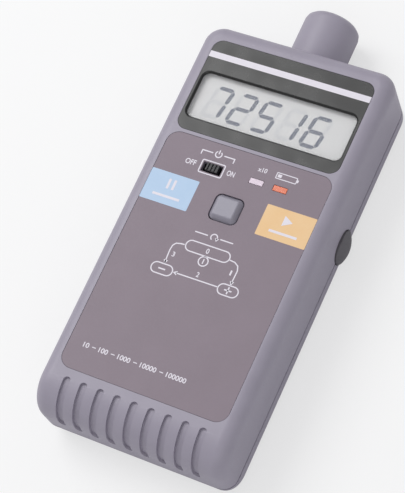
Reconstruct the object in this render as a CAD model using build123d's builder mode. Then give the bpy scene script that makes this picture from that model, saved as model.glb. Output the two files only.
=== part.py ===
"""Hand-held digital photo tachometer, in millimetres.

X points right across the face, Y along the case towards the sensor barrel, Z out of the face.
The origin is the centre of the flat back.
"""
import math
import os

from build123d import *

os.makedirs("parts", exist_ok=True)

# Case shell
case_depth = 28.5
wall = 2.2
face_end_radius = 12.0
back_end_radius = 8.5
upper_corner_radius = 7.0
edge_radius = 5.0
inner_edge_chamfer = 2.0
parting_height = 7.8
seam_height = 0.8
seam_depth = 0.5
running_gap = 0.3
seat_gap = 0.1

# Grip grooves round the lower end
groove_count = 9
groove_pitch = 6.3
groove_width = 2.6
groove_depth = 1.0
groove_end_radius = 1.2
groove_face_run = 0.8
groove_end_run = 1.6
groove_backing = 0.8
groove_backing_margin = 2.5

# Label and display panel on the face
label_side_border = 5.0
label_end_border = 3.6
label_above_lamps = 9.25
label_corner = 4.5
label_recess = 0.45
label_thickness = 0.4
panel_gap = 1.2
panel_side_border = 5.4
panel_end_border = 6.3
panel_corner = 3.8
panel_thickness = 1.0
window_side_border = 1.5
window_low_border = 5.3
window_high_border = 12.9
window_height = 17.6
window_corner = 2.5
window_bevel = 0.6
lens_border = 0.7
lens_thickness = 1.1

# Display behind the window
lcd_side_border = 1.4
lcd_end_border = 2.7
lcd_thickness = 2.2
lcd_depth = 2.5
lcd_corner = 0.6
lcd_frame_wall = 1.0
strip_width = 2.0
strip_inset = 0.7
strip_end_gap = 1.5

# Main circuit board
board_side_gap = 2.8
board_setback = 11.0
board_end_border = 3.5
board_thickness = 1.6
board_top = 15.2
board_corner = 1.5
board_screw_inset = 2.5
board_screw_low_inset = 3.5
board_screw_display_gap = 4.2
board_boss_radius = 2.3
board_screw_radius = 0.85
board_screw_head_radius = 1.9
board_screw_head_height = 1.4
board_screw_bite = 5.8

# Screws that close the case
case_screw_inset = 9.0
case_screw_well_gap = 6.5
case_post_radius = 3.25
case_boss_radius = 4.2
case_screw_radius = 1.2
case_screw_head_radius = 2.7
case_screw_head_height = 2.2
case_screw_seat = 3.2
case_screw_bite = 10.2
case_screw_hole_radius = 1.7
cross_span = 0.6
cross_width = 0.7
cross_depth = 0.45

# Slide switch
slot_right = -7.4
slot_width = 3.5
slot_lamp_offset = 0.3
knob_length = 4.6
knob_end_gap = 0.9
knob_travel = 1.5
knob_proud = 1.1
knob_head_depth = 4.2
knob_stem = 2.0
knob_stem_reach = 2.4
knob_ridge_count = 3
knob_ridge_pitch = 1.3
knob_ridge_width = 0.5
knob_ridge_depth = 0.4
slide_body_length = 12.5
slide_body_width = 6.0
slide_body_height = 6.0

# Recall button
recall_board_inset = 10.9
recall_hole_width = 10.7
recall_hole_length = 10.0
recall_hole_corner = 2.3
recall_flare = 1.35
recall_proud = 1.6
recall_flange = 1.3
recall_flange_border = 0.9
recall_travel = 1.0
recall_edge = 0.35

# Oval buttons on the side walls
side_recall_offset = 7.0
side_height = 8.3
side_hole_length = 12.9
side_hole_height = 11.6
side_proud = 2.3
side_dome_rise = 1.9
side_travel = 1.2
side_ear_reach = 1.4
side_ear_height = 6.4
side_ear_thickness = 1.3

# Push switches behind the buttons
switch_width = 6.0
switch_height = 3.5
switch_floor = 1.1
plunger_radius = 1.6
plunger_gap = 0.3
side_switch_length = 7.0
side_switch_drop = 3.4

# Lamps in the label
lamp_recall_offset = 12.55
range_lamp_x = 5.6
battery_lamp_x = 14.4
lamp_length = 5.0
lamp_width = 2.0
lamp_height = 7.3
lamp_lead = 0.5
lamp_lead_spacing = 2.54

# Sensor barrel
barrel_height = 10.5
barrel_reach = 20.0
barrel_radius = 10.2
barrel_rim_rounding = 3.0
barrel_rim_steps = 3
barrel_base_chamfer = 0.5
barrel_neck_radius = 7.5
barrel_inner_reach = 2.1
barrel_ear_half_width = 11.5
barrel_ear_low = 5.2
barrel_ear_high = 16.0
barrel_ear_thickness = 2.0
saddle_half_width = 9.6
front_bore_radius = 6.6
rear_bore_radius = 5.9
lens_radius = 6.5
lens_edge = 1.2
lens_sag = 2.2
lens_flange = 0.7
filter_thickness = 1.6
ring_thickness = 1.8
ring_bore_radius = 5.4
ring_recess = 0.6

# Light source and light sensor in the barrel
holder_radius = 5.8
holder_length = 10.0
optic_spacing = 5.6
optic_radius = 1.5
optic_length = 6.0
optic_flange_radius = 1.9
optic_flange_thickness = 0.8
optic_lead = 0.5
optic_lead_spacing = 1.8
optic_lead_length = 2.3
optic_setback = 0.3
sensor_board_width = 14.0
sensor_board_height = 11.0
sensor_board_thickness = 1.2
lead_clearance = 0.15

# Battery compartment
cell_count = 4
cell_radius = 7.2
cell_length = 50.5
cell_nub_radius = 2.7
cell_nub_height = 1.2
cell_side_gap = 0.5
cell_rest_gap = 0.3
spring_length = 5.2
well_end_gap = 6.5
well_side_gap = 0.2
well_outer_gap = 2.2
well_wall = 1.6
well_upper_wall = 1.8
well_head_room = 0.5
contact_width = 7.0
contact_height = 10.0
contact_thickness = 0.4

# Sliding battery door
door_side_inset = 0.2
door_lip = 0.8
door_thickness = 2.0
rail_reach = 1.1
rail_low = 1.0
rail_thickness = 0.7
rail_start_inset = 4.5
rail_end_inset = 0.5
grip_count = 5
grip_pitch = 2.4
grip_setback = 14.0
grip_length = 18.0
grip_width = 1.1
grip_depth = 0.6

# Parts on the underside of the board
chip_offset = 1.0
chip_length = 36.0
chip_width = 13.5
chip_height = 3.8
chip_stand_off = 0.6
pins_per_side = 14
pin_pitch = 2.54
pin_width = 0.5
pin_thickness = 0.4
crystal_x = 12.0
crystal_chip_gap = 14.0
crystal_length = 11.0
crystal_width = 4.6
crystal_height = 3.5
capacitor_radius = 3.15
capacitor_height = 7.0
capacitor_chip_gap = 16.0
capacitor_xs = (-20.0, -11.0)

# The case is as wide as its row of cells and as long as the cells, controls and display in line
cell_pitch = 2 * cell_radius + cell_side_gap
well_half_width = cell_count * cell_pitch / 2 + well_side_gap
well_length = cell_length + 2 * contact_thickness + spring_length
case_width = 2 * (well_half_width + well_wall + well_outer_gap + wall)
controls_length = board_setback + recall_board_inset + lamp_recall_offset + label_above_lamps
panel_length = window_low_border + window_height + window_high_border
case_length = well_end_gap + well_length + controls_length + panel_gap + panel_length + panel_end_border

# Places along the case, from the lower end up
upper_end = case_length / 2
lower_end = -case_length / 2
well_low = lower_end + well_end_gap
well_high = well_low + well_length
board_low = well_high + board_setback
recall_y = board_low + recall_board_inset
side_y = recall_y + side_recall_offset
lamp_y = recall_y + lamp_recall_offset
label_low = lower_end + face_end_radius + label_end_border
label_high = lamp_y + label_above_lamps
panel_low = label_high + panel_gap
panel_high = panel_low + panel_length
window_low = panel_low + window_low_border
window_high = window_low + window_height
lcd_low = window_low - lcd_end_border
lcd_high = window_high + lcd_end_border
board_high = lcd_high + board_end_border
door_high = well_high + door_lip
rail_start = well_low + rail_start_inset
rail_end = well_high - rail_end_inset
chip_y = (lcd_low + lcd_high) / 2 - chip_offset
board_screw_rows = (board_low + board_screw_low_inset, lcd_low - board_screw_display_gap)
case_screw_rows = (well_high + case_screw_well_gap, upper_end - case_screw_inset)

# Widths and places across the case
side_wall = case_width / 2
label_width = case_width - 2 * label_side_border
panel_width = case_width - 2 * panel_side_border
window_width = panel_width - 2 * window_side_border
lcd_width = window_width + 2 * lcd_side_border
board_width = case_width - 2 * (wall + board_side_gap)
board_screw_x = board_width / 2 - board_screw_inset
case_screw_x = side_wall - case_screw_inset
door_half_width = well_half_width - door_side_inset
knob_right = slot_right - knob_end_gap
knob_left = knob_right - knob_length
slot_left = knob_left - knob_travel - running_gap
slot_low = lamp_y - slot_lamp_offset - slot_width / 2
slot_high = slot_low + slot_width

# Levels through the depth of the case
face_inside = case_depth - wall
post_root = case_depth - wall / 2
panel_seat = case_depth - panel_thickness
lcd_top = case_depth - lcd_depth
lcd_bottom = lcd_top - lcd_thickness
board_bottom = board_top - board_thickness
door_ceiling = door_thickness + running_gap
cell_height = door_thickness + cell_rest_gap + cell_radius
well_ceiling = cell_height + cell_radius + well_head_room
barrel_end = upper_end + barrel_reach
barrel_axis = Axis((0, 0, barrel_height), (0, 1, 0))
case_screw_points = [(x, y) for x in (-case_screw_x, case_screw_x) for y in case_screw_rows]
board_screw_points = [(x, y) for x in (-board_screw_x, board_screw_x) for y in board_screw_rows]
cell_xs = [cell_pitch * (i - (cell_count - 1) / 2) for i in range(cell_count)]


def end_plane(y):
    """Upright plane across the case at y, seen from the barrel end with X right and Z up."""
    return Plane(origin=(0, y, 0), x_dir=(1, 0, 0), z_dir=(0, -1, 0))


def case_form(inset, hollow=False):
    """The case's outer form set inwards all round by inset, with flat edges where it is the hollow inside."""
    low = lower_end + inset
    high = upper_end - inset
    floor = inset
    face = case_depth - inset
    with BuildPart(mode=Mode.PRIVATE) as form:
        with BuildSketch(Plane.YZ):
            with BuildLine():
                FilletPolyline(
                    (high, floor),
                    (low, floor),
                    (low, face),
                    (high, face),
                    radius=[0, back_end_radius - inset, face_end_radius - inset, 0],
                    close=True,
                )
            make_face()
        extrude(amount=side_wall - inset, both=True)
        upright_edges = form.edges().filter_by(Axis.Z).group_by(Axis.Y)[-1]
        fillet(upright_edges, upper_corner_radius - inset)
        upper_edges = form.edges().filter_by(Axis.X).group_by(Axis.Y)[-1]
        if hollow:
            chamfer(upper_edges, inner_edge_chamfer)
        else:
            fillet(upper_edges, edge_radius - inset)
    return form.part


def band_sketch(low, high, width, corner):
    """Rounded rectangle centred on X between two heights along Y, for use inside a sketch."""
    with Locations((0, (low + high) / 2)):
        RectangleRounded(width, high - low, corner)


def finish(builder, name):
    """Label a finished piece and write its file."""
    builder.part.label = name
    export_step(builder.part, f"parts/{name}.step")


outer_form = case_form(0)
inner_form = case_form(wall, hollow=True)
seam_form = case_form(seam_depth)

# One groove, cut square to the surface all the way round the end
with BuildPart(mode=Mode.PRIVATE) as groove_cutter:
    groove_start = lower_end + face_end_radius + groove_face_run
    groove_stop = case_depth - face_end_radius - groove_end_run
    with BuildSketch(Plane.YZ):
        with BuildLine():
            FilletPolyline(
                (groove_start, case_depth + wall),
                (groove_start, case_depth - groove_depth),
                (lower_end + groove_depth, case_depth - groove_depth),
                (lower_end + groove_depth, groove_stop),
                (lower_end - wall, groove_stop),
                (lower_end - wall, case_depth + wall),
                radius=[0, 0, face_end_radius - groove_depth, 0, 0, 0],
                close=True,
            )
        make_face()
    extrude(amount=groove_width / 2, both=True)
    face_end_edges = groove_cutter.edges().filter_by(Axis.Z).group_by(Axis.Y)[-1]
    lower_end_edges = groove_cutter.edges().filter_by(Axis.Y).group_by(Axis.Z)[0]
    fillet(face_end_edges + lower_end_edges, groove_end_radius)

# Extra wall under the grooves, following the same curve
with BuildPart(mode=Mode.PRIVATE) as groove_backing_pad:
    pad_half_width = groove_pitch * (groove_count - 1) / 2 + groove_width / 2 + groove_backing_margin
    pad_outer = wall / 2
    pad_inner = wall + groove_backing
    pad_start = lower_end + face_end_radius + groove_face_run + groove_backing_margin
    pad_stop = groove_stop - groove_backing_margin
    with BuildSketch(Plane.YZ):
        with BuildLine():
            FilletPolyline(
                (pad_start, case_depth - pad_outer),
                (lower_end + pad_outer, case_depth - pad_outer),
                (lower_end + pad_outer, pad_stop),
                (lower_end + pad_inner, pad_stop),
                (lower_end + pad_inner, case_depth - pad_inner),
                (pad_start, case_depth - pad_inner),
                radius=[0, face_end_radius - pad_outer, 0, 0, face_end_radius - pad_inner, 0],
                close=True,
            )
        make_face()
    extrude(amount=pad_half_width, both=True)

# Thin shadow line round the case where the halves meet
with BuildPart(mode=Mode.PRIVATE) as seam_band:
    add(outer_form)
    split(bisect_by=Plane.XY.offset(parting_height), keep=Keep.TOP)
    split(bisect_by=Plane.XY.offset(parting_height + seam_height), keep=Keep.BOTTOM)
    add(seam_form, mode=Mode.SUBTRACT)

# Front half of the case
with BuildPart() as front_case:
    add(outer_form)
    split(bisect_by=Plane.XY.offset(parting_height), keep=Keep.TOP)
    add(inner_form, mode=Mode.SUBTRACT)
    add(groove_backing_pad.part)
    with Locations(*[(groove_pitch * (i - (groove_count - 1) / 2), 0, 0) for i in range(groove_count)]):
        add(groove_cutter.part, mode=Mode.SUBTRACT)
    add(seam_band.part, mode=Mode.SUBTRACT)
    with BuildSketch(Plane.XY.offset(parting_height)):
        with Locations(*case_screw_points):
            Circle(case_post_radius)
    extrude(amount=post_root - parting_height)
    with BuildSketch(Plane.XY.offset(board_top)):
        with Locations(*board_screw_points):
            Circle(board_boss_radius)
    extrude(amount=post_root - board_top)
    with BuildSketch(Plane.XY.offset(parting_height)):
        with Locations(*case_screw_points):
            Circle(case_screw_radius + seat_gap / 2)
    extrude(amount=case_screw_bite + running_gap, mode=Mode.SUBTRACT)
    with BuildSketch(Plane.XY.offset(board_top)):
        with Locations(*board_screw_points):
            Circle(board_screw_radius + seat_gap / 2)
    extrude(amount=board_screw_bite + running_gap, mode=Mode.SUBTRACT)
    with BuildSketch(Plane.XY.offset(case_depth - label_recess)):
        band_sketch(label_low, label_high, label_width, label_corner)
    extrude(amount=wall, mode=Mode.SUBTRACT)
    with BuildSketch(Plane.XY.offset(panel_seat)):
        band_sketch(panel_low, panel_high, panel_width, panel_corner)
    extrude(amount=wall, mode=Mode.SUBTRACT)
    with BuildSketch(Plane.XY.offset(face_inside - wall / 2)):
        band_sketch(
            window_low - lens_border - seat_gap,
            window_high + lens_border + seat_gap,
            window_width + 2 * (lens_border + seat_gap),
            window_corner,
        )
        with Locations(((slot_left + slot_right) / 2, (slot_low + slot_high) / 2)):
            Rectangle(slot_right - slot_left, slot_high - slot_low)
        with Locations((0, recall_y)):
            RectangleRounded(recall_hole_width, recall_hole_length, recall_hole_corner)
        with Locations((range_lamp_x, lamp_y), (battery_lamp_x, lamp_y)):
            Rectangle(lamp_length + 2 * seat_gap, lamp_width + 2 * seat_gap)
    extrude(amount=2 * wall, mode=Mode.SUBTRACT)
    with BuildSketch(Plane.YZ):
        with Locations((side_y, side_height)):
            SlotOverall(side_hole_length, side_hole_height)
    extrude(amount=case_width, both=True, mode=Mode.SUBTRACT)
    with BuildSketch(end_plane(barrel_end)):
        with Locations((0, barrel_height)):
            Circle(barrel_neck_radius + seat_gap)
        with Locations((0, parting_height)):
            Rectangle(2 * (saddle_half_width + seat_gap), 2 * (barrel_height - parting_height))
    extrude(amount=barrel_reach + edge_radius, mode=Mode.SUBTRACT)
finish(front_case, "front_case")

# Rear half of the case, with the battery well that stands up inside
with BuildPart() as rear_case:
    add(outer_form)
    split(bisect_by=Plane.XY.offset(parting_height), keep=Keep.BOTTOM)
    add(inner_form, mode=Mode.SUBTRACT)
    with BuildSketch(Plane.XY):
        with Locations(*case_screw_points):
            Circle(case_boss_radius)
    extrude(amount=parting_height)
    with BuildSketch(Plane.XY.offset(rail_low)):
        with Locations((0, (well_low - well_wall + well_high + well_upper_wall) / 2)):
            Rectangle(2 * (well_half_width + well_wall), well_high - well_low + well_wall + well_upper_wall)
    extrude(amount=well_ceiling + well_wall - rail_low)
    with BuildSketch(Plane.XY):
        with Locations((0, (well_low + well_high) / 2)):
            Rectangle(2 * well_half_width, well_high - well_low)
    extrude(amount=well_ceiling, mode=Mode.SUBTRACT)
    with BuildSketch(Plane.YZ):
        with BuildLine():
            FilletPolyline(
                (door_high + running_gap, -wall),
                (lower_end - wall, -wall),
                (lower_end - wall, parting_height + wall),
                (lower_end + door_ceiling, parting_height + wall),
                (lower_end + door_ceiling, door_ceiling),
                (door_high + running_gap, door_ceiling),
                radius=[0, 0, 0, 0, back_end_radius - door_ceiling, 0],
                close=True,
            )
        make_face()
    extrude(amount=door_half_width + running_gap, both=True, mode=Mode.SUBTRACT)
    with BuildSketch(Plane.XY.offset(rail_low - running_gap)):
        rail_slot_end = rail_end + running_gap
        rail_slot_start = lower_end - wall
        with Locations((0, (rail_slot_start + rail_slot_end) / 2)):
            Rectangle(2 * (door_half_width + rail_reach + running_gap), rail_slot_end - rail_slot_start)
    extrude(amount=rail_thickness + 2 * running_gap, mode=Mode.SUBTRACT)
    with BuildSketch(Plane.XY):
        with Locations(*case_screw_points):
            Circle(case_screw_head_radius + seat_gap)
    extrude(amount=case_screw_seat, mode=Mode.SUBTRACT)
    with BuildSketch(Plane.XY):
        with Locations(*case_screw_points):
            Circle(case_screw_hole_radius)
    extrude(amount=parting_height, mode=Mode.SUBTRACT)
    with BuildSketch(Plane.YZ):
        with Locations((side_y, side_height)):
            SlotOverall(side_hole_length, side_hole_height)
    extrude(amount=case_width, both=True, mode=Mode.SUBTRACT)
    with BuildSketch(end_plane(upper_end)):
        with Locations((0, (parting_height - wall + barrel_height) / 2)):
            Rectangle(2 * saddle_half_width, barrel_height - parting_height + wall)
    extrude(amount=wall)
    with BuildSketch(end_plane(barrel_end)):
        with Locations((0, barrel_height)):
            Circle(barrel_neck_radius + seat_gap)
    extrude(amount=barrel_reach + edge_radius, mode=Mode.SUBTRACT)
finish(rear_case, "rear_case")

# Door over the cells: it follows the back round the lower end and slides off on two rails
with BuildPart() as battery_door:
    with BuildSketch(Plane.YZ):
        with BuildLine():
            FilletPolyline(
                (door_high, 0),
                (lower_end, 0),
                (lower_end, back_end_radius + wall),
                (lower_end + door_thickness, back_end_radius + wall),
                (lower_end + door_thickness, door_thickness),
                (door_high, door_thickness),
                radius=[0, back_end_radius, 0, 0, back_end_radius - door_thickness, 0],
                close=True,
            )
        make_face()
    extrude(amount=door_half_width, both=True)
    split(bisect_by=Plane.XY.offset(parting_height - running_gap), keep=Keep.BOTTOM)
    with BuildSketch(Plane.XY.offset(rail_low)):
        with Locations((0, (rail_start + rail_end) / 2)):
            Rectangle(2 * (door_half_width + rail_reach), rail_end - rail_start)
    extrude(amount=rail_thickness)
    with BuildSketch(Plane.XY):
        with Locations(*[(0, well_high - grip_setback + grip_pitch * i) for i in range(grip_count)]):
            Rectangle(grip_length, grip_width)
    extrude(amount=grip_depth, mode=Mode.SUBTRACT)
finish(battery_door, "battery_door")

# Printed label in its recess on the face
with BuildPart() as face_label:
    with BuildSketch(Plane.XY.offset(case_depth - label_recess)):
        band_sketch(
            label_low + seat_gap,
            label_high - seat_gap,
            label_width - 2 * seat_gap,
            label_corner - seat_gap,
        )
        with Locations(((slot_left + slot_right) / 2, (slot_low + slot_high) / 2)):
            Rectangle(slot_right - slot_left, slot_high - slot_low, mode=Mode.SUBTRACT)
        with Locations((0, recall_y)):
            RectangleRounded(recall_hole_width, recall_hole_length, recall_hole_corner, mode=Mode.SUBTRACT)
        with Locations((range_lamp_x, lamp_y), (battery_lamp_x, lamp_y)):
            Rectangle(lamp_length + 2 * seat_gap, lamp_width + 2 * seat_gap, mode=Mode.SUBTRACT)
    extrude(amount=label_thickness)
finish(face_label, "face_label")

# Black panel with the bevelled window opening
with BuildPart() as display_bezel:
    with BuildSketch(Plane.XY.offset(panel_seat)):
        band_sketch(
            panel_low + seat_gap,
            panel_high - seat_gap,
            panel_width - 2 * seat_gap,
            panel_corner - seat_gap,
        )
    extrude(amount=panel_thickness)
    with BuildSketch(Plane.XY.offset(panel_seat)):
        band_sketch(window_low, window_high, window_width, window_corner)
    extrude(amount=panel_thickness, mode=Mode.SUBTRACT)
    upper_opening_edges = (
        display_bezel.faces().sort_by(Axis.Z)[-1].inner_wires()[0].edges()
    )
    chamfer(upper_opening_edges, window_bevel)
finish(display_bezel, "display_bezel")

# Clear window behind the panel
with BuildPart() as display_window:
    with BuildSketch(Plane.XY.offset(panel_seat - lens_thickness)):
        band_sketch(
            window_low - lens_border,
            window_high + lens_border,
            window_width + 2 * lens_border,
            window_corner,
        )
    extrude(amount=lens_thickness)
finish(display_window, "display_window")

# Liquid crystal display
with BuildPart() as lcd_glass:
    with BuildSketch(Plane.XY.offset(lcd_bottom)):
        band_sketch(lcd_low, lcd_high, lcd_width, lcd_corner)
    extrude(amount=lcd_thickness)
finish(lcd_glass, "lcd_glass")

# Frame that holds the display above the board
with BuildPart() as lcd_frame:
    pocket_low = lcd_low - seat_gap
    pocket_high = lcd_high + seat_gap
    pocket_width = lcd_width + 2 * seat_gap
    with BuildSketch(Plane.XY.offset(board_top)):
        band_sketch(
            pocket_low - lcd_frame_wall,
            pocket_high + lcd_frame_wall,
            pocket_width + 2 * lcd_frame_wall,
            lcd_corner + lcd_frame_wall,
        )
        with Locations((0, (pocket_low + pocket_high) / 2)):
            Rectangle(pocket_width, pocket_high - pocket_low, mode=Mode.SUBTRACT)
    extrude(amount=face_inside - seat_gap - board_top)
finish(lcd_frame, "lcd_frame")

# Two conductive rubber strips between the display and the board
with BuildPart() as lcd_contact_strips:
    strip_offset = strip_inset + strip_width / 2
    with BuildSketch(Plane.XY.offset(board_top)):
        with Locations((0, lcd_low + strip_offset), (0, lcd_high - strip_offset)):
            Rectangle(lcd_width - 2 * strip_end_gap, strip_width)
    extrude(amount=lcd_bottom - board_top)
finish(lcd_contact_strips, "lcd_contact_strips")

# Main board with its screw holes
with BuildPart() as main_board:
    with BuildSketch(Plane.XY.offset(board_bottom)):
        band_sketch(board_low, board_high, board_width, board_corner)
        with Locations(*board_screw_points):
            Circle(board_screw_radius + running_gap, mode=Mode.SUBTRACT)
    extrude(amount=board_thickness)
finish(main_board, "main_board")

# Counter chip in a dual in-line case under the board
with BuildPart() as counter_chip:
    chip_top = board_bottom - chip_stand_off
    with BuildSketch(Plane.XY.offset(chip_top - chip_height)):
        with Locations((0, chip_y)):
            Rectangle(chip_length, chip_width)
    extrude(amount=chip_height)
    pin_root = chip_top - chip_height / 2
    with BuildSketch(Plane.XY.offset(pin_root)):
        pin_row_spacing = chip_width + pin_thickness
        with Locations((0, chip_y)):
            with GridLocations(pin_pitch, pin_row_spacing, pins_per_side, 2):
                Rectangle(pin_width, pin_thickness)
    extrude(amount=board_bottom - pin_root)
finish(counter_chip, "counter_chip")

# Quartz crystal
with BuildPart() as crystal:
    with BuildSketch(Plane.XY.offset(board_bottom - crystal_height)):
        with Locations((crystal_x, chip_y - crystal_chip_gap)):
            SlotOverall(crystal_length, crystal_width)
    extrude(amount=crystal_height)
finish(crystal, "crystal")

# Pair of electrolytic capacitors
with BuildPart() as capacitors:
    with BuildSketch(Plane.XY.offset(board_bottom - capacitor_height)):
        with Locations(*[(x, chip_y - capacitor_chip_gap) for x in capacitor_xs]):
            Circle(capacitor_radius)
    extrude(amount=capacitor_height)
finish(capacitors, "capacitors")

# Slide switch on the board
slide_centre = ((slot_left + slot_right) / 2, (slot_low + slot_high) / 2)
slide_top = board_top + slide_body_height
knob_centre_x = (knob_left + knob_right) / 2
with BuildPart() as power_switch_body:
    with BuildSketch(Plane.XY.offset(board_top)):
        with Locations(slide_centre):
            Rectangle(slide_body_length, slide_body_width)
    extrude(amount=slide_body_height)
    with BuildSketch(Plane.XY.offset(slide_top - knob_stem_reach - running_gap)):
        stem_left = knob_centre_x - knob_stem / 2 - knob_travel - running_gap
        stem_right = knob_centre_x + knob_stem / 2 + running_gap
        with Locations(((stem_left + stem_right) / 2, slide_centre[1])):
            Rectangle(stem_right - stem_left, knob_stem + 2 * running_gap)
    extrude(amount=slide_body_height, mode=Mode.SUBTRACT)
finish(power_switch_body, "power_switch_body")

# Ridged knob that stands out of the slot
with BuildPart() as power_switch_knob:
    knob_top = case_depth + knob_proud
    knob_root = knob_top - knob_head_depth
    with BuildSketch(Plane.XY.offset(knob_root)):
        with Locations((knob_centre_x, slide_centre[1])):
            Rectangle(knob_right - knob_left, slot_high - slot_low - 2 * running_gap)
    extrude(amount=knob_head_depth)
    with BuildSketch(Plane.XY.offset(slide_top - knob_stem_reach)):
        with Locations((knob_centre_x, slide_centre[1])):
            Rectangle(knob_stem, knob_stem)
    extrude(amount=knob_root - slide_top + knob_stem_reach)
    with BuildSketch(Plane.XY.offset(knob_top - knob_ridge_depth)):
        with Locations((knob_centre_x, slide_centre[1])):
            with GridLocations(knob_ridge_pitch, 0, knob_ridge_count, 1):
                Rectangle(knob_ridge_width, slot_high - slot_low)
    extrude(amount=knob_ridge_depth, mode=Mode.SUBTRACT)
finish(power_switch_knob, "power_switch_knob")

# Recall button: a flange under the face, straight sides in the hole and flared sides above it
recall_base_width = recall_hole_width - 2 * running_gap
recall_base_length = recall_hole_length - 2 * running_gap
recall_flange_top = face_inside - running_gap
recall_bottom = recall_flange_top - recall_flange
with BuildPart() as recall_button:
    with BuildSketch(Plane.XY.offset(recall_bottom)):
        with Locations((0, recall_y)):
            RectangleRounded(
                recall_hole_width + 2 * recall_flange_border,
                recall_hole_length + 2 * recall_flange_border,
                recall_hole_corner,
            )
    extrude(amount=recall_flange)
    recall_shoulder = case_depth - label_recess
    with BuildSketch(Plane.XY.offset(recall_bottom)):
        with Locations((0, recall_y)):
            RectangleRounded(recall_base_width, recall_base_length, recall_hole_corner - running_gap)
    extrude(amount=recall_shoulder - recall_bottom)
    with BuildSketch(Plane.XY.offset(recall_shoulder)):
        with Locations((0, recall_y)):
            RectangleRounded(recall_base_width, recall_base_length, recall_hole_corner - running_gap)
    recall_rise = case_depth + recall_proud - recall_shoulder
    extrude(amount=recall_rise, taper=math.degrees(math.atan(recall_flare / recall_rise)))
    chamfer(recall_button.faces().sort_by(Axis.Z)[-1].edges(), recall_edge)
finish(recall_button, "recall_button")

# Push switch under the recall button, and its plunger
with BuildPart() as recall_switch:
    with BuildSketch(Plane.XY.offset(board_top)):
        with Locations((0, recall_y)):
            Rectangle(switch_width, switch_width)
    extrude(amount=switch_height)
    with BuildSketch(Plane.XY.offset(board_top + switch_floor)):
        with Locations((0, recall_y)):
            Circle(plunger_radius + running_gap)
    extrude(amount=switch_height, mode=Mode.SUBTRACT)
finish(recall_switch, "recall_switch")

with BuildPart() as recall_plunger:
    plunger_low = board_top + switch_floor + plunger_gap + recall_travel
    with BuildSketch(Plane.XY.offset(plunger_low)):
        with Locations((0, recall_y)):
            Circle(plunger_radius)
    extrude(amount=recall_bottom - plunger_low)
finish(recall_plunger, "recall_plunger")


# Buttons, plungers and push switches of the side walls, drawn for the right wall and mirrored to the left
side_inside = side_wall - wall - running_gap - side_ear_thickness
side_tip = side_wall + side_proud
side_length = side_hole_length - 2 * running_gap
side_tall = side_hole_height - 2 * running_gap
dome_radius = ((side_length / 2) ** 2 + side_dome_rise**2) / (2 * side_dome_rise)
switch_face = side_inside - side_travel - running_gap
switch_depth = plunger_gap + side_travel + switch_floor


def side_button():
    """Oval button with a domed end, and an ear on each side that keeps it in the wall."""
    with BuildPart(mode=Mode.PRIVATE) as button:
        with BuildSketch(Plane.YZ.offset(side_inside)):
            with Locations((side_y, side_height)):
                SlotOverall(side_length, side_tall)
        extrude(amount=side_tip - side_inside)
        with Locations((side_tip - dome_radius, side_y, side_height)):
            Sphere(dome_radius, mode=Mode.INTERSECT)
        with BuildSketch(Plane.YZ.offset(side_inside)):
            with Locations((side_y, side_height)):
                Rectangle(side_hole_length + 2 * side_ear_reach, side_ear_height)
        extrude(amount=side_ear_thickness)
    return button.part


def side_plunger():
    """Pin that carries the button's push into its switch."""
    with BuildPart(mode=Mode.PRIVATE) as plunger:
        with BuildSketch(Plane.YZ.offset(switch_face - switch_floor)):
            with Locations((side_y, side_height)):
                Circle(plunger_radius)
        extrude(amount=side_inside - switch_face + switch_floor)
    return plunger.part


def side_switch():
    """Right-angle push switch that hangs under the board's edge."""
    with BuildPart(mode=Mode.PRIVATE) as switch:
        switch_low = side_height - side_switch_drop
        with BuildSketch(Plane.XY.offset(switch_low)):
            with Locations((switch_face - switch_width / 2, side_y)):
                Rectangle(switch_width, side_switch_length)
        extrude(amount=board_bottom - switch_low)
        with BuildSketch(Plane.YZ.offset(switch_face - switch_depth)):
            with Locations((side_y, side_height)):
                Circle(plunger_radius + running_gap)
        extrude(amount=switch_depth, mode=Mode.SUBTRACT)
    return switch.part


side_pieces = {"button": side_button(), "plunger": side_plunger(), "switch": side_switch()}
for wall_name, on_left in (("start", False), ("hold", True)):
    for piece_name, piece in side_pieces.items():
        with BuildPart() as side_piece:
            add(piece)
            if on_left:
                mirror(about=Plane.YZ, mode=Mode.REPLACE)
        finish(side_piece, f"{wall_name}_{piece_name}")

# Rectangular lamps that stand on the board and end in the label
for lamp_name, lamp_x in (("range_led", range_lamp_x), ("low_battery_led", battery_lamp_x)):
    with BuildPart() as lamp:
        lamp_top = case_depth - label_recess + label_thickness
        with BuildSketch(Plane.XY.offset(lamp_top - lamp_height)):
            with Locations((lamp_x, lamp_y)):
                Rectangle(lamp_length, lamp_width)
        extrude(amount=lamp_height)
        with BuildSketch(Plane.XY.offset(board_top)):
            with Locations((lamp_x, lamp_y)):
                with GridLocations(lamp_lead_spacing, 0, 2, 1):
                    Rectangle(lamp_lead, lamp_lead)
        extrude(amount=lamp_top - lamp_height - board_top)
    finish(lamp, lamp_name)

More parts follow.
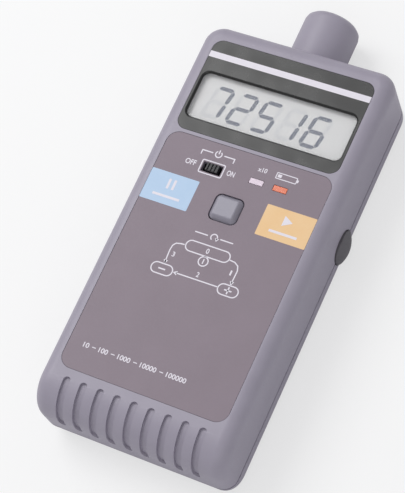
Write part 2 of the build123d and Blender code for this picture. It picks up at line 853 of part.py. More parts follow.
# Sensor barrel: a turned form with a neck through the end wall and two ears inside it
ring_seat = barrel_end - ring_recess - ring_thickness
filter_seat = ring_seat - filter_thickness
lens_seat = filter_seat - lens_edge
barrel_inner_end = upper_end - wall - barrel_inner_reach
ear_face = upper_end - wall - seat_gap
rim_angles = [math.pi / 2 * i / barrel_rim_steps for i in range(barrel_rim_steps + 1)]
rim_points = [
    (
        barrel_radius - barrel_rim_rounding * (1 - math.cos(angle)),
        barrel_end - barrel_rim_rounding * (1 - math.sin(angle)),
    )
    for angle in rim_angles
]
with BuildPart() as sensor_barrel:
    with BuildSketch(Plane.XY.offset(barrel_height)):
        with BuildLine():
            Polyline(
                (rear_bore_radius, barrel_inner_end),
                (barrel_neck_radius, barrel_inner_end),
                (barrel_neck_radius, upper_end),
                (barrel_radius - barrel_base_chamfer, upper_end),
                (barrel_radius, upper_end + barrel_base_chamfer),
                *rim_points,
                (front_bore_radius, barrel_end),
                (front_bore_radius, lens_seat),
                (rear_bore_radius, lens_seat),
                close=True,
            )
        make_face()
    revolve(axis=barrel_axis)
    with BuildSketch(end_plane(ear_face)):
        with Locations((0, (barrel_ear_low + barrel_ear_high) / 2)):
            Rectangle(2 * barrel_ear_half_width, barrel_ear_high - barrel_ear_low)
        with Locations((0, barrel_height)):
            Circle(rear_bore_radius, mode=Mode.SUBTRACT)
    extrude(amount=barrel_ear_thickness)
finish(sensor_barrel, "sensor_barrel")


def turned_disc(low, high, radius, bore=0.0):
    """Round piece on the barrel's axis between two places along Y."""
    with BuildPart(mode=Mode.PRIVATE) as disc:
        with BuildSketch(end_plane(high)):
            with Locations((0, barrel_height)):
                Circle(radius)
                if bore:
                    Circle(bore, mode=Mode.SUBTRACT)
        extrude(amount=high - low)
    return disc.part


with BuildPart() as lens_ring:
    add(turned_disc(ring_seat, ring_seat + ring_thickness, lens_radius, ring_bore_radius))
finish(lens_ring, "lens_ring")

with BuildPart() as red_filter:
    add(turned_disc(filter_seat, ring_seat, lens_radius))
finish(red_filter, "red_filter")

# Lens with a flat front, a thin rim that rests on the step in the bore, and a curved back
with BuildPart() as focus_lens:
    curve_half_width = lens_radius - lens_flange
    curve_radius = (curve_half_width**2 + lens_sag**2) / (2 * lens_sag)
    add(turned_disc(lens_seat - lens_sag, filter_seat, curve_half_width))
    with Locations((0, lens_seat - lens_sag + curve_radius, barrel_height)):
        Sphere(curve_radius, mode=Mode.INTERSECT)
    add(turned_disc(lens_seat, filter_seat, lens_radius))
finish(focus_lens, "focus_lens")

# Holder that keeps the light source and the light sensor side by side
holder_rear = barrel_inner_end + optic_setback + optic_flange_thickness
optic_xs = (-optic_spacing / 2, optic_spacing / 2)
with BuildPart() as optic_holder:
    add(turned_disc(holder_rear, holder_rear + holder_length, holder_radius))
    with BuildSketch(end_plane(holder_rear + holder_length)):
        with Locations(*[(x, barrel_height) for x in optic_xs]):
            Circle(optic_radius + seat_gap)
    extrude(amount=holder_length, mode=Mode.SUBTRACT)
finish(optic_holder, "optic_holder")

for optic_name, optic_x in zip(("light_source", "photo_sensor"), optic_xs):
    with BuildPart() as optic:
        optic_plane = end_plane(holder_rear)
        with BuildSketch(optic_plane):
            with Locations((optic_x, barrel_height)):
                Circle(optic_flange_radius)
        extrude(amount=optic_flange_thickness)
        with BuildSketch(optic_plane):
            with Locations((optic_x, barrel_height)):
                Circle(optic_radius)
        extrude(amount=-optic_length)
        with BuildSketch(end_plane(holder_rear - optic_flange_thickness)):
            with Locations((optic_x, barrel_height)):
                with GridLocations(optic_lead_spacing, 0, 2, 1):
                    Rectangle(optic_lead, optic_lead)
        extrude(amount=optic_lead_length)
    finish(optic, optic_name)

# Small board that closes the barrel's inner end and carries both leads
lead_hole = optic_lead + 2 * lead_clearance
with BuildPart() as sensor_board:
    with BuildSketch(end_plane(barrel_inner_end)):
        with Locations((0, barrel_height)):
            Rectangle(sensor_board_width, sensor_board_height)
        with Locations(*[(x, barrel_height) for x in optic_xs]):
            with GridLocations(optic_lead_spacing, 0, 2, 1):
                Rectangle(lead_hole, lead_hole, mode=Mode.SUBTRACT)
    extrude(amount=sensor_board_thickness)
finish(sensor_board, "sensor_board")

# Cells in a row, turned end for end by turns, each with a plate at its nub and a leaf spring behind it
for index, cell_x in enumerate(cell_xs):
    nub_up = index % 2 == 0
    direction = 1 if nub_up else -1
    nub_wall = well_high if nub_up else well_low
    spring_wall = well_low if nub_up else well_high
    nub_tip = nub_wall - direction * contact_thickness
    cell_back = nub_tip - direction * cell_length
    number = index + 1
    with BuildPart() as battery_cell:
        with BuildSketch(Plane.XY.offset(cell_height)):
            with BuildLine():
                Polyline(
                    (cell_x, cell_back),
                    (cell_x + cell_radius, cell_back),
                    (cell_x + cell_radius, nub_tip - direction * cell_nub_height),
                    (cell_x + cell_nub_radius, nub_tip - direction * cell_nub_height),
                    (cell_x + cell_nub_radius, nub_tip),
                    (cell_x, nub_tip),
                    close=True,
                )
            make_face()
        revolve(axis=Axis((cell_x, 0, cell_height), (0, 1, 0)))
    finish(battery_cell, f"battery_cell_{number}")

    with BuildPart() as contact_plate:
        with BuildSketch(Plane.XZ.offset(-nub_wall)):
            with Locations((cell_x, cell_height)):
                Rectangle(contact_width, contact_height)
        extrude(amount=direction * contact_thickness)
    finish(contact_plate, f"contact_plate_{number}")

    with BuildPart() as contact_spring:
        half = contact_thickness / 2
        root = spring_wall + direction * half
        crest = cell_back - direction * half
        mid = (root + crest) / 2
        with BuildSketch(Plane.YZ.offset(cell_x)):
            with BuildLine():
                Polyline(
                    (root, cell_height - contact_height / 2),
                    (root, cell_height + contact_height / 2),
                    (crest, cell_height + contact_height / 4),
                    (crest, cell_height - contact_height / 4),
                    (mid, cell_height - contact_height / 2),
                )
            trace(line_width=contact_thickness)
        extrude(amount=contact_width / 2, both=True)
    finish(contact_spring, f"contact_spring_{number}")


def cross_head_screw(seat, head_radius, head_height, shaft_radius, shaft_length):
    """Pan-head screw on the Z axis, driven from below, with its head's underside at seat."""
    with BuildPart(mode=Mode.PRIVATE) as screw:
        with BuildSketch(Plane.XY.offset(seat - head_height)):
            Circle(head_radius)
        extrude(amount=head_height)
        with BuildSketch(Plane.XY.offset(seat)):
            Circle(shaft_radius)
        extrude(amount=shaft_length)
        slot_length = 2 * cross_span * head_radius
        with BuildSketch(Plane.XY.offset(seat - head_height)):
            Rectangle(slot_length, cross_width)
            Rectangle(cross_width, slot_length)
        extrude(amount=cross_depth * head_height, mode=Mode.SUBTRACT)
    return screw.part


case_screw = cross_head_screw(
    case_screw_seat,
    case_screw_head_radius,
    case_screw_head_height,
    case_screw_radius,
    parting_height - case_screw_seat + case_screw_bite,
)
with BuildPart() as case_screws:
    with Locations(*[(x, y, 0) for x, y in case_screw_points]):
        add(case_screw)
finish(case_screws, "case_screws")

board_screw = cross_head_screw(
    board_bottom,
    board_screw_head_radius,
    board_screw_head_height,
    board_screw_radius,
    board_thickness + board_screw_bite,
)
with BuildPart() as board_screws:
    with Locations(*[(x, y, 0) for x, y in board_screw_points]):
        add(board_screw)
finish(board_screws, "board_screws")
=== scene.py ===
"""Looks of a hand-held digital tachometer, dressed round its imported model.

Lengths in this file are in millimetres, and the meshes are written in metres. X points right across
the face, Y along the case towards the sensor barrel, and Z out of the face.
"""
from __future__ import annotations

import logging
import math
from dataclasses import dataclass, field
from enum import Enum
from typing import Iterable, Sequence

import bmesh
import bpy
from mathutils import Matrix, Vector


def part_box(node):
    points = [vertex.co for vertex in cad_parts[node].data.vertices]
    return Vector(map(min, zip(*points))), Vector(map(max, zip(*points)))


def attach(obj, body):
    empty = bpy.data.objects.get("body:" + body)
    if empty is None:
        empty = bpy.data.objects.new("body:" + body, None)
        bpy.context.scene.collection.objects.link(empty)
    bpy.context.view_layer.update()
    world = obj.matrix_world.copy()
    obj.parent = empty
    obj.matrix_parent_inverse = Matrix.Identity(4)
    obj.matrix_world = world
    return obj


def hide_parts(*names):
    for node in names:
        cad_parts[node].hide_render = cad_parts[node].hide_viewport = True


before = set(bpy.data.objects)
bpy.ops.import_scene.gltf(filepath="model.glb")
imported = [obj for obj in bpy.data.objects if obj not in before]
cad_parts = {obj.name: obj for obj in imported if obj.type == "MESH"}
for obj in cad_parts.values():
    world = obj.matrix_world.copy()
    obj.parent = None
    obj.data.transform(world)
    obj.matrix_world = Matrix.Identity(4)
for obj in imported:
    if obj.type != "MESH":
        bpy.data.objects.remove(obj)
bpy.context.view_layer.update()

log = logging.getLogger("tachometer")

MM = 0.001
MERGE_DISTANCE = 0.002 * MM
FLAT_ANGLE = math.radians(0.6)
SHARP_ANGLE = math.radians(36.0)

Point = tuple[float, float]
NodeInput = object


class Body(Enum):
    """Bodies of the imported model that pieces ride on."""

    CASE = "case"
    POWER_KNOB = "power_knob"
    RECALL = "recall"
    START = "start"
    HOLD = "hold"
    DOOR = "door"


class Slot(Enum):
    """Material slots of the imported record."""

    CASE = "case_plastic"
    LABEL = "label_print"
    PANEL = "panel_black"
    CLEAR = "clear_plastic"
    DISPLAY = "display_glass"
    BUTTON = "button_plastic"
    SIDE_BUTTON = "side_button_plastic"
    PALE_LAMP = "pale_lamp"
    ORANGE_LAMP = "orange_lamp"
    BLACK = "black_plastic"
    FILTER = "red_filter_glass"
    METAL = "bright_metal"
    CELL = "cell_jacket"
    DOOR = "door_plastic"


class Relief(Enum):
    """How a surface was made, which decides the pattern of its fine relief."""

    SPARK = "spark-eroded mould"
    FILM = "screen-printed film"
    POLISHED = "polished mould"
    DRAWN = "drawn metal"


# ---- colour, nodes and finishes


def linear(hex_colour: str, alpha: float = 1.0) -> tuple[float, float, float, float]:
    """Turns an sRGB hex value to linear colour.

    Args:
        hex_colour: colour such as "#8d7f90".
        alpha: opacity that is passed on.

    Returns:
        Linear red, green, blue and alpha.
    """
    parts = [int(hex_colour[i : i + 2], 16) / 255 for i in (1, 3, 5)]
    red, green, blue = (p / 12.92 if p <= 0.04045 else ((p + 0.055) / 1.055) ** 2.4 for p in parts)
    return red, green, blue, alpha


def add_node(
    tree: bpy.types.NodeTree,
    kind: str,
    inputs: dict[str | int, NodeInput] | None = None,
    **settings: object,
) -> bpy.types.Node:
    """Adds one node with its settings and links.

    Args:
        tree: tree that gets the node.
        kind: type name of the node.
        inputs: a value or an output socket for each input, by name or number.
        **settings: attributes of the node.

    Returns:
        The new node.
    """
    node = tree.nodes.new(kind)
    for key, value in settings.items():
        setattr(node, key, value)
    for key, value in (inputs or {}).items():
        if isinstance(value, bpy.types.NodeSocket):
            tree.links.new(value, node.inputs[key])
        else:
            node.inputs[key].default_value = value
    return node


@dataclass(frozen=True)
class Finish:
    """One real material with its colour, gloss and fine relief.

    Attributes:
        name: common name of the real material.
        colour: sRGB hex of its surface.
        second: sRGB hex that it drifts to in soft patches.
        roughness: microfacet roughness.
        relief: how the surface was made.
        grain: size of the relief in millimetres.
        depth: height of the relief in millimetres.
        patch: size of the colour patches in millimetres.
        metallic: 1 for bare metal.
        ior: index of refraction.
        specular: specular level.
        alpha: opacity.
        coat: strength of a clear coat.
    """

    name: str
    colour: str
    second: str
    roughness: float
    relief: Relief = Relief.SPARK
    grain: float = 0.4
    depth: float = 0.02
    patch: float = 14.0
    metallic: float = 0.0
    ior: float = 1.5
    specular: float = 0.5
    alpha: float = 1.0
    coat: float = 0.0

    def material(self) -> bpy.types.Material:
        """Builds the material once and returns it."""
        known = bpy.data.materials.get(self.name)
        if known:
            return known
        material = bpy.data.materials.new(self.name)
        material.use_nodes = True
        tree = material.node_tree
        tree.nodes.clear()
        place = add_node(tree, "ShaderNodeTexCoord")
        shader = add_node(
            tree,
            "ShaderNodeBsdfPrincipled",
            {
                "Metallic": self.metallic,
                "IOR": self.ior,
                "Specular IOR Level": self.specular,
                "Alpha": self.alpha,
                "Coat Weight": self.coat,
                "Coat Roughness": 0.08,
            },
        )
        self.paint(tree, place.outputs["Object"], shader)
        add_node(tree, "ShaderNodeOutputMaterial", {"Surface": shader.outputs["BSDF"]})
        return material

    def paint(
        self, tree: bpy.types.NodeTree, place: bpy.types.NodeSocket, shader: bpy.types.Node
    ) -> None:
        """Links colour, roughness and relief to the shader.

        Args:
            tree: the material's tree.
            place: object coordinates in metres.
            shader: the material's Principled node.
        """
        patches = add_node(
            tree,
            "ShaderNodeTexNoise",
            {"Vector": place, "Scale": 1 / (self.patch * MM), "Detail": 3.0, "Roughness": 0.55},
        )
        colour = add_node(
            tree,
            "ShaderNodeMix",
            {"Factor": patches.outputs["Fac"], 6: linear(self.colour), 7: linear(self.second)},
            data_type="RGBA",
        )
        tree.links.new(colour.outputs[2], shader.inputs["Base Color"])
        relief = self.relief_height(tree, place)
        rough = add_node(
            tree,
            "ShaderNodeMapRange",
            {
                "Value": relief,
                "From Min": 0.3,
                "From Max": 0.7,
                "To Min": self.roughness * 0.88,
                "To Max": min(1.0, self.roughness * 1.12),
            },
        )
        tree.links.new(rough.outputs["Result"], shader.inputs["Roughness"])
        bump = add_node(
            tree,
            "ShaderNodeBump",
            {"Height": relief, "Distance": self.depth * MM, "Strength": 1.0},
        )
        tree.links.new(bump.outputs["Normal"], shader.inputs["Normal"])

    def relief_height(self, tree: bpy.types.NodeTree, place: bpy.types.NodeSocket) -> bpy.types.NodeSocket:
        """Makes the height pattern that belongs to how the surface was made.

        Args:
            tree: the material's tree.
            place: object coordinates in metres.

        Returns:
            Output socket of a height between 0 and 1.
        """
        scale = 1 / (self.grain * MM)
        if self.relief is Relief.DRAWN:
            stretched = add_node(tree, "ShaderNodeMapping", {"Vector": place, "Scale": (1.0, 0.06, 1.0)})
            place = stretched.outputs["Vector"]
        detail = {Relief.SPARK: 2.0, Relief.FILM: 1.0, Relief.POLISHED: 0.0, Relief.DRAWN: 2.0}[self.relief]
        noise = add_node(
            tree, "ShaderNodeTexNoise", {"Vector": place, "Scale": scale, "Detail": detail, "Roughness": 0.6}
        )
        return noise.outputs["Fac"]


@dataclass(frozen=True)
class CellJacket(Finish):
    """Printed film round a cell, with a plain band of another colour towards its nub.

    Attributes:
        band: sRGB hex of the band.
        split: Y of the band's edge in millimetres.
        nub_up: whether the nub points to +Y.
    """

    band: str = "#b9774a"
    split: float = 0.0
    nub_up: bool = True

    def paint(
        self, tree: bpy.types.NodeTree, place: bpy.types.NodeSocket, shader: bpy.types.Node
    ) -> None:
        """Adds the band to the plain finish.

        Args:
            tree: the material's tree.
            place: object coordinates in metres.
            shader: the material's Principled node.
        """
        super().paint(tree, place, shader)
        plain = shader.inputs["Base Color"].links[0].from_socket
        parts = add_node(tree, "ShaderNodeSeparateXYZ", {0: place})
        side = add_node(
            tree,
            "ShaderNodeMath",
            {0: parts.outputs["Y"], 1: self.split * MM},
            operation="GREATER_THAN" if self.nub_up else "LESS_THAN",
        )
        banded = add_node(
            tree, "ShaderNodeMix", {"Factor": side.outputs[0], 6: plain, 7: linear(self.band)}, data_type="RGBA"
        )
        tree.links.new(banded.outputs[2], shader.inputs["Base Color"])


@dataclass(frozen=True)
class CircuitBoard(Finish):
    """Solder mask over copper tracks, with the tracks as a slightly paler raised grid.

    Attributes:
        track: sRGB hex of the mask over copper.
        track_pitch: spacing of the tracks in millimetres.
    """

    track: str = "#2f7a50"
    track_pitch: float = 2.54

    def paint(
        self, tree: bpy.types.NodeTree, place: bpy.types.NodeSocket, shader: bpy.types.Node
    ) -> None:
        """Adds the tracks to the plain finish.

        Args:
            tree: the material's tree.
            place: object coordinates in metres.
            shader: the material's Principled node.
        """
        super().paint(tree, place, shader)
        plain = shader.inputs["Base Color"].links[0].from_socket
        tracks = add_node(
            tree,
            "ShaderNodeTexBrick",
            {
                "Vector": place,
                "Scale": 1 / (self.track_pitch * MM),
                "Mortar Size": 0.09,
                "Brick Width": 4.0,
                "Row Height": 1.0,
            },
        )
        masked = add_node(
            tree, "ShaderNodeMix", {"Factor": tracks.outputs["Fac"], 6: plain, 7: linear(self.track)}, data_type="RGBA"
        )
        tree.links.new(masked.outputs[2], shader.inputs["Base Color"])


# Moulded ABS from a spark-eroded mould: even satin grey-lilac, and grain that breaks up highlights
CASE_ABS = Finish("moulded_abs_case", "#9a94a2", "#a49eac", 0.46, grain=0.42, depth=0.022, patch=9.0)
# Screen-printed polycarbonate film: a warmer and darker grey-lilac, with a fine matt tooth
LABEL_FILM = Finish("printed_polycarbonate_film", "#82757f", "#8b7d88", 0.5, Relief.FILM, grain=0.5, depth=0.008)
# Screen ink on the film: nearly white, thin and slightly uneven
PALE_INK = Finish("screen_ink_pale", "#e4dee8", "#ece8f0", 0.5, Relief.FILM, grain=0.4, depth=0.006, patch=3.0)
BLUE_INK = Finish("screen_ink_blue", "#b3cde9", "#bcd4ee", 0.5, Relief.FILM, grain=0.4, depth=0.006, patch=6.0)
ORANGE_INK = Finish("screen_ink_orange", "#efc48c", "#f3cf9f", 0.5, Relief.FILM, grain=0.4, depth=0.006, patch=6.0)
# Gloss ABS panel: near black, with soft long reflections
PANEL_ABS = Finish("gloss_abs_panel", "#1c1c1c", "#222221", 0.3, Relief.POLISHED, grain=6.0, depth=0.004)
# Polycarbonate window: clear with a faint gloss
WINDOW_PC = Finish(
    "clear_polycarbonate_window", "#f2f4f4", "#f6f8f8", 0.05, Relief.POLISHED, grain=30.0, depth=0.001, ior=1.58, alpha=0.1
)
# Display glass with a silvery polariser behind it
DISPLAY_GLASS = Finish("polarised_display_glass", "#cfcecf", "#d6d5d4", 0.35, Relief.FILM, grain=0.3, depth=0.002, patch=30.0)
SEGMENT_ON = Finish("display_segment_dark", "#2b3553", "#343f60", 0.4, Relief.FILM, grain=0.5, depth=0.001, patch=4.0)
SEGMENT_OFF = Finish("display_segment_idle", "#c3c3c6", "#c8c8ca", 0.4, Relief.FILM, grain=0.5, depth=0.001, patch=4.0)
BUTTON_ABS = Finish("moulded_abs_button", "#96939f", "#a09da9", 0.42, grain=0.4, depth=0.012, patch=5.0)
SIDE_BUTTON_ABS = Finish("moulded_abs_side_button", "#5b585d", "#636065", 0.45, grain=0.4, depth=0.014, patch=5.0)
KNOB_ABS = Finish("moulded_black_abs_knob", "#1b1b1f", "#232327", 0.42, grain=0.3, depth=0.01, patch=3.0)
BLACK_ABS = Finish("moulded_black_abs", "#17171a", "#1e1e21", 0.5, grain=0.4, depth=0.015)
PALE_LAMP = Finish("tinted_epoxy_pale", "#d9c7d6", "#dfcfdc", 0.25, Relief.POLISHED, grain=2.0, depth=0.004, patch=2.0)
ORANGE_LAMP = Finish("tinted_epoxy_orange", "#e0643c", "#e67a52", 0.25, Relief.POLISHED, grain=2.0, depth=0.004, patch=2.0)
RED_GLASS = Finish("red_filter_glass", "#7d0a0c", "#8a0e10", 0.05, Relief.POLISHED, grain=20.0, depth=0.001, alpha=0.75)
LENS_GLASS = Finish("crown_glass_lens", "#e8eef0", "#eef2f4", 0.03, Relief.POLISHED, grain=20.0, depth=0.001, ior=1.52, alpha=0.25)
CLEAR_EPOXY = Finish("clear_cast_epoxy", "#d8dde2", "#e0e5ea", 0.12, Relief.POLISHED, grain=4.0, depth=0.002, ior=1.54)
DARK_EPOXY = Finish("dark_cast_epoxy", "#1b1826", "#221f2e", 0.15, Relief.POLISHED, grain=4.0, depth=0.002, ior=1.54)
NICKEL_STEEL = Finish("nickel_plated_steel", "#b9b8b4", "#c6c5c0", 0.3, Relief.DRAWN, grain=0.3, depth=0.004, metallic=1.0)
ZINC_STEEL = Finish("zinc_plated_steel", "#aeb0b2", "#bbbcbc", 0.34, Relief.DRAWN, grain=0.25, depth=0.004, metallic=1.0)
INNER_ABS = Finish("moulded_pale_abs", "#d6d5d0", "#dddcd8", 0.5, grain=0.4, depth=0.015)
RUBBER = Finish("conductive_rubber", "#2b2b2d", "#323234", 0.75, grain=0.25, depth=0.02)
SLEEVE = Finish("shrunk_sleeve_film", "#1f2740", "#27304b", 0.3, Relief.FILM, grain=1.5, depth=0.01)
BOARD = CircuitBoard("solder_mask_on_glass_board", "#1c5436", "#226040", 0.4, Relief.FILM, grain=0.5, depth=0.01)

INNER_FINISHES = {
    "lcd_frame": INNER_ABS,
    "lcd_contact_strips": RUBBER,
    "main_board": BOARD,
    "sensor_board": BOARD,
    "counter_chip": BLACK_ABS,
    "crystal": NICKEL_STEEL,
    "capacitors": SLEEVE,
    "power_switch_body": ZINC_STEEL,
    "recall_plunger": BLACK_ABS,
    "recall_switch": BLACK_ABS,
    "start_plunger": BLACK_ABS,
    "start_switch": BLACK_ABS,
    "hold_plunger": BLACK_ABS,
    "hold_switch": BLACK_ABS,
    "focus_lens": LENS_GLASS,
    "optic_holder": BLACK_ABS,
    "light_source": CLEAR_EPOXY,
    "photo_sensor": DARK_EPOXY,
    "board_screws": ZINC_STEEL,
}


# ---- meshes


def to_object(name: str, mesh: bpy.types.Mesh, finishes: Sequence[Finish]) -> bpy.types.Object:
    """Links a mesh to the scene as a piece with its finishes.

    Args:
        name: name of the piece.
        mesh: finished mesh in metres.
        finishes: finishes in the order of the mesh's material numbers.

    Returns:
        The new object, at the origin.
    """
    mesh.name = name
    mesh.materials.clear()
    for finish in finishes:
        mesh.materials.append(finish.material())
    piece = bpy.data.objects.new(name, mesh)
    bpy.context.scene.collection.objects.link(piece)
    return piece


def join_to(piece: bpy.types.Object, body: Body, slot: Slot, *nodes: str) -> bpy.types.Object:
    """Lets a piece ride on its body and stand for its CAD nodes.

    Args:
        piece: finished piece.
        body: body that carries it.
        slot: slot of the record; not used.
        *nodes: CAD nodes that it replaces.

    Returns:
        The same piece.
    """
    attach(piece, body.value)
    if nodes:
        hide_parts(*nodes)
    log.info("%s rides on %s", piece.name, body.value)
    return piece


def baked(piece: bpy.types.Object) -> bpy.types.Mesh:
    """Returns a plain mesh of a piece with its modifiers applied, and removes the piece."""
    bpy.context.view_layer.update()
    graph = bpy.context.evaluated_depsgraph_get()
    mesh = bpy.data.meshes.new_from_object(piece.evaluated_get(graph), preserve_all_data_layers=True, depsgraph=graph)
    bpy.data.objects.remove(piece)
    return mesh


def soften(mesh: bpy.types.Mesh, edge_width: float, segments: int = 2) -> bpy.types.Mesh:
    """Rounds a mesh's sharp edges slightly and shades it smooth.

    Args:
        mesh: closed mesh with merged corners.
        edge_width: width of the rounding in millimetres, or 0 for none.
        segments: steps across the rounding.

    Returns:
        The new mesh.
    """
    mesh.shade_smooth()
    holder = bpy.data.objects.new("softened", mesh)
    bpy.context.scene.collection.objects.link(holder)
    if edge_width:
        rounding = holder.modifiers.new("rounding", "BEVEL")
        rounding.width = edge_width * MM
        rounding.segments = segments
        rounding.limit_method = "ANGLE"
        rounding.angle_limit = SHARP_ANGLE
        rounding.miter_outer = "MITER_ARC"
        rounding.harden_normals = False
    weighted = holder.modifiers.new("weighted", "WEIGHTED_NORMAL")
    weighted.mode = "FACE_AREA"
    weighted.weight = 80
    weighted.keep_sharp = True
    return baked(holder)


def merged_copy(node: str) -> bmesh.types.BMesh:
    """Returns a CAD node's shape with its loose triangles merged and its flat areas joined."""
    shape = bmesh.new()
    shape.from_mesh(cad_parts[node].data)
    bmesh.ops.remove_doubles(shape, verts=shape.verts, dist=MERGE_DISTANCE)
    bmesh.ops.dissolve_limit(shape, angle_limit=FLAT_ANGLE, verts=shape.verts, edges=shape.edges)
    return shape


def mark_sharp(shape: bmesh.types.BMesh) -> None:
    """Marks edges that turn by more than the sharp angle."""
    for edge in shape.edges:
        edge.smooth = edge.is_manifold and edge.calc_face_angle(math.pi) < SHARP_ANGLE


def dressed_copy(
    node: str,
    body: Body,
    slot: Slot,
    finish: Finish,
    edge_width: float,
    segments: int = 2,
) -> bpy.types.Object:
    """Makes the smooth visible piece of one CAD node and lets it stand for the node.

    Args:
        node: CAD node to dress.
        body: body that carries it.
        slot: slot of the record.
        finish: finish of the whole piece.
        edge_width: width of its edge rounding in millimetres.
        segments: steps across the rounding.

    Returns:
        The finished piece.
    """
    shape = merged_copy(node)
    if not edge_width:
        mark_sharp(shape)
    mesh = bpy.data.meshes.new(node)
    shape.to_mesh(mesh)
    shape.free()
    mesh = soften(mesh, edge_width, segments)
    return join_to(to_object(f"{node}.skin", mesh, [finish]), body, slot, node)


def rounded_box(low: Point, high: Point, corner: float, steps: int = 6) -> list[Point]:
    """Returns the outline of a rectangle with round corners.

    Args:
        low: lower left corner.
        high: upper right corner.
        corner: corner radius.
        steps: points along each corner.

    Returns:
        Points of the outline, anticlockwise.
    """
    centres = (
        (high[0] - corner, high[1] - corner),
        (low[0] + corner, high[1] - corner),
        (low[0] + corner, low[1] + corner),
        (high[0] - corner, low[1] + corner),
    )
    points = []
    for quarter, (x, y) in enumerate(centres):
        for step in range(steps + 1):
            angle = math.pi / 2 * (quarter + step / steps)
            points.append((x + corner * math.cos(angle), y + corner * math.sin(angle)))
    return points


class Artwork:
    """Flat shapes gathered in one plane, which become one thin closed mesh."""

    def __init__(self) -> None:
        """Starts with no shapes."""
        self.shape = bmesh.new()

    def area(self, points: Iterable[Point]) -> None:
        """Adds a filled outline.

        Args:
            points: corners in order.
        """
        self.shape.faces.new([self.shape.verts.new((x, y, 0)) for x, y in points])

    def line(self, points: Sequence[Point], width: float, closed: bool = False) -> None:
        """Adds a line of even width with mitred corners.

        Args:
            points: points along its middle.
            width: its width.
            closed: whether its end joins its start.
        """
        count = len(points)
        rails = []
        for index in range(count):
            here = Vector(points[index])
            before = Vector(points[index - 1]) if closed or index else None
            after = Vector(points[(index + 1) % count]) if closed or index < count - 1 else None
            ways = [d.normalized() for d in ((here - before) if before else None, (after - here) if after else None) if d]
            normals = [Vector((-way.y, way.x)) for way in ways]
            mitre = sum(normals, Vector((0, 0))).normalized()
            reach = width / 2 / max(0.35, mitre.dot(normals[0]))
            rails.append([self.shape.verts.new((*(here + mitre * reach * side), 0)) for side in (1, -1)])
        for index in range(count if closed else count - 1):
            (a, b), (c, d) = rails[index], rails[(index + 1) % count]
            self.shape.faces.new((a, b, d, c))

    def arrow(self, tip: Point, way: Point, length: float, width: float) -> None:
        """Adds a filled arrow head.

        Args:
            tip: its point.
            way: direction that it points in.
            length: its length.
            width: its width at the back.
        """
        along = Vector(way).normalized()
        across = Vector((-along.y, along.x)) * width / 2
        back = Vector(tip) - along * length
        self.area([tuple(tip), tuple(back + across), tuple(back - across)])

    def word(self, letters: str, low: Point, high: Point, bold: float = 0.02) -> None:
        """Adds letters or numbers in the default typeface, fitted into a box.

        Args:
            letters: what is written.
            low: lower left corner of the box.
            high: upper right corner of the box.
            bold: extra stroke as a share of the letter size.
        """
        curve = bpy.data.curves.new("letters", "FONT")
        curve.body = letters
        curve.offset = bold
        holder = bpy.data.objects.new("letters", curve)
        bpy.context.scene.collection.objects.link(holder)
        mesh = baked(holder)
        corners = [vertex.co for vertex in mesh.vertices]
        left, right = min(c.x for c in corners), max(c.x for c in corners)
        bottom, top = min(c.y for c in corners), max(c.y for c in corners)
        wide = (high[0] - low[0]) / (right - left)
        tall = (high[1] - low[1]) / (top - bottom)
        verts = [
            self.shape.verts.new((low[0] + (c.x - left) * wide, low[1] + (c.y - bottom) * tall, 0)) for c in corners
        ]
        for polygon in mesh.polygons:
            self.shape.faces.new([verts[i] for i in polygon.vertices])
        bpy.data.meshes.remove(mesh)
        bpy.data.curves.remove(curve)

    def mesh(self, level: float, thickness: float) -> bpy.types.Mesh:
        """Gives the shapes their thickness and closes the artwork.

        Args:
            level: height of the underside in millimetres.
            thickness: thickness in millimetres.

        Returns:
            A closed mesh in metres.
        """
        bmesh.ops.remove_doubles(self.shape, verts=self.shape.verts, dist=0.001)
        raised = bmesh.ops.extrude_face_region(self.shape, geom=self.shape.faces[:])["geom"]
        bmesh.ops.translate(
            self.shape, verts=[g for g in raised if isinstance(g, bmesh.types.BMVert)], vec=(0, 0, thickness)
        )
        bmesh.ops.transform(
            self.shape, verts=self.shape.verts, matrix=Matrix.Scale(MM, 4) @ Matrix.Translation((0, 0, level))
        )
        bmesh.ops.recalc_face_normals(self.shape, faces=self.shape.faces)
        mesh = bpy.data.meshes.new("artwork")
        self.shape.to_mesh(mesh)
        self.shape.free()
        return mesh


# ---- the tachometer's sub-assemblies


@dataclass
class Shell:
    """Both halves of the case with their screws and the sliding battery door."""

    edge: float = 0.22
    screw_edge: float = 0.18

    def build(self) -> None:
        """Builds the case and the door."""
        dressed_copy("front_case", Body.CASE, Slot.CASE, CASE_ABS, self.edge)
        dressed_copy("rear_case", Body.CASE, Slot.CASE, CASE_ABS, self.edge)
        dressed_copy("battery_door", Body.DOOR, Slot.DOOR, CASE_ABS, self.edge)
        dressed_copy("case_screws", Body.CASE, Slot.METAL, ZINC_STEEL, self.screw_edge)


